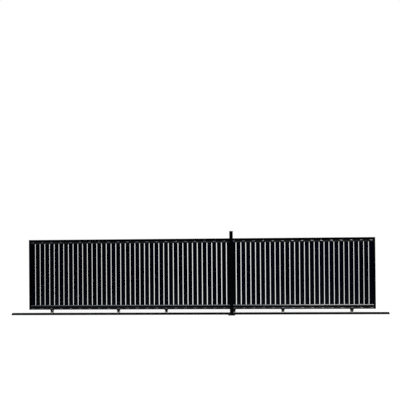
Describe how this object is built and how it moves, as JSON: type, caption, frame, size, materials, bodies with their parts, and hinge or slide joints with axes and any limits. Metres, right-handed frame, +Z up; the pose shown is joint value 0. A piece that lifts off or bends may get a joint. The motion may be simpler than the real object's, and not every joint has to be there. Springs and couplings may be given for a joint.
{
  "type": "sliding driveway gate",
  "caption": "Sliding driveway gate: a long leaf of upright black slats in a box frame, on grooved wheels that run on a ridged floor track beside a square guide post.",
  "frame": {"origin": "middle of the underside of the guide post's base plate, at ground level", "axes": "+X along the track, +Y from the guide post towards the leaf, +Z up"},
  "size_m": [7.8, 0.233, 1.7134],
  "materials": {
    "slat_coat": "satin",
    "frame_coat": "satin",
    "channel_coat": "gloss",
    "steel_coat": "satin",
    "track_paint": "matte",
    "black_plastic": "matte",
    "nylon": "satin",
    "zinc_bolt": "satin",
    "black_zinc": "satin",
    "zinc_wheel": "satin"
  },
  "bodies": {
    "fixed": {"track": "track_paint", "post_base_plate": "steel_coat", "guide_post": "steel_coat", "post_cap": "black_plastic", "guide_bracket": "steel_coat", "guide_roller_front": "nylon", "guide_roller_rear": "nylon", "guide_roller_bolts": "zinc_bolt"},
    "gate": {"top_rail_left": "frame_coat", "top_rail_middle": "frame_coat", "top_rail_right": "frame_coat", "bottom_rail_left": "frame_coat", "bottom_rail_middle": "frame_coat", "bottom_rail_right": "frame_coat", "top_channel_left": "channel_coat", "top_channel_middle": "channel_coat", "top_channel_right": "channel_coat", "bottom_channel_left": "channel_coat", "bottom_channel_middle": "channel_coat", "bottom_channel_right": "channel_coat", "slats_left": "slat_coat", "slats_middle": "slat_coat", "slats_right": "slat_coat", "left_stile": "frame_coat", "right_stile": "frame_coat", "stile_caps": "black_plastic", "wheel_fork_1": "steel_coat", "wheel_fork_2": "steel_coat", "wheel_fork_3": "steel_coat", "wheel_fork_4": "steel_coat", "wheel_fork_5": "steel_coat", "wheel_fork_6": "steel_coat", "wheel_axle_1": "black_zinc", "wheel_axle_2": "black_zinc", "wheel_axle_3": "black_zinc", "wheel_axle_4": "black_zinc", "wheel_axle_5": "black_zinc", "wheel_axle_6": "black_zinc"},
    "wheel_1": {"wheel_1": "zinc_wheel"},
    "wheel_2": {"wheel_2": "zinc_wheel"},
    "wheel_3": {"wheel_3": "zinc_wheel"},
    "wheel_4": {"wheel_4": "zinc_wheel"},
    "wheel_5": {"wheel_5": "zinc_wheel"},
    "wheel_6": {"wheel_6": "zinc_wheel"}
  },
  "joints": [
    {"name": "gate_slide", "type": "slide", "parent": "fixed", "child": "gate", "axis": [1, 0, 0], "range_m": [-0.8, 0.7]},
    {"name": "wheel_1_spin", "type": "hinge", "parent": "gate", "child": "wheel_1", "pos_m": [-3.745, 0.11, 0.06342], "axis": [0, 1, 0], "continuous": true},
    {"name": "wheel_2_spin", "type": "hinge", "parent": "gate", "child": "wheel_2", "pos_m": [-2.345, 0.11, 0.06342], "axis": [0, 1, 0], "continuous": true},
    {"name": "wheel_3_spin", "type": "hinge", "parent": "gate", "child": "wheel_3", "pos_m": [-1.345, 0.11, 0.06342], "axis": [0, 1, 0], "continuous": true},
    {"name": "wheel_4_spin", "type": "hinge", "parent": "gate", "child": "wheel_4", "pos_m": [0.055, 0.11, 0.06342], "axis": [0, 1, 0], "continuous": true},
    {"name": "wheel_5_spin", "type": "hinge", "parent": "gate", "child": "wheel_5", "pos_m": [1.055, 0.11, 0.06342], "axis": [0, 1, 0], "continuous": true},
    {"name": "wheel_6_spin", "type": "hinge", "parent": "gate", "child": "wheel_6", "pos_m": [2.455, 0.11, 0.06342], "axis": [0, 1, 0], "continuous": true}
  ],
  "couplings": [
    {"joint": "wheel_1_spin", "follows": "gate_slide", "rad_per_m": 35.336},
    {"joint": "wheel_2_spin", "follows": "gate_slide", "rad_per_m": 35.336},
    {"joint": "wheel_3_spin", "follows": "gate_slide", "rad_per_m": 35.336},
    {"joint": "wheel_4_spin", "follows": "gate_slide", "rad_per_m": 35.336},
    {"joint": "wheel_5_spin", "follows": "gate_slide", "rad_per_m": 35.336},
    {"joint": "wheel_6_spin", "follows": "gate_slide", "rad_per_m": 35.336}
  ]
}
